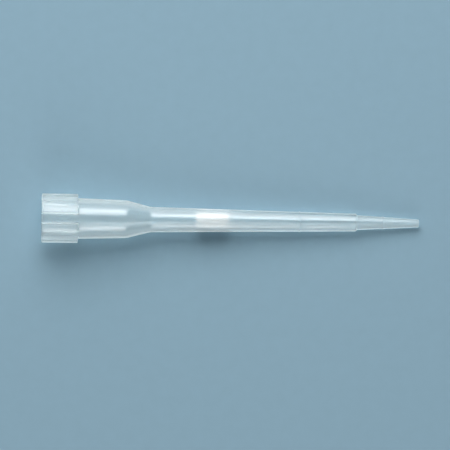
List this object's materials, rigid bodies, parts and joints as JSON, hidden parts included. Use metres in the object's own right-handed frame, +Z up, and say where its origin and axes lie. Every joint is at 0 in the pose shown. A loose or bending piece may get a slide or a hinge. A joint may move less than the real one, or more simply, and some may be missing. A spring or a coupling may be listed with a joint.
{
  "type": "pipette tip",
  "caption": "Extended filter pipette tip lying on its side: ribbed collar, tapered socket, shouldered slim body, fine stepped point and a white porous plug in the bore.",
  "frame": {"origin": "On the surface the tip lies on, under the middle of its bounding box.", "axes": "+X towards the point, -X towards the mouth, +Z up. The tip's own axis lies in the XZ plane and falls 3.22 degrees towards +X, because it rests on two collar ribs and the slim body's step."},
  "size_m": [0.0462, 0.006, 0.0062],
  "materials": {
    "clear_polypropylene": "satin",
    "porous_polyethylene": "matte"
  },
  "bodies": {
    "root": {"tip_body": "clear_polypropylene", "filter_plug": "porous_polyethylene"}
  },
  "joints": []
}
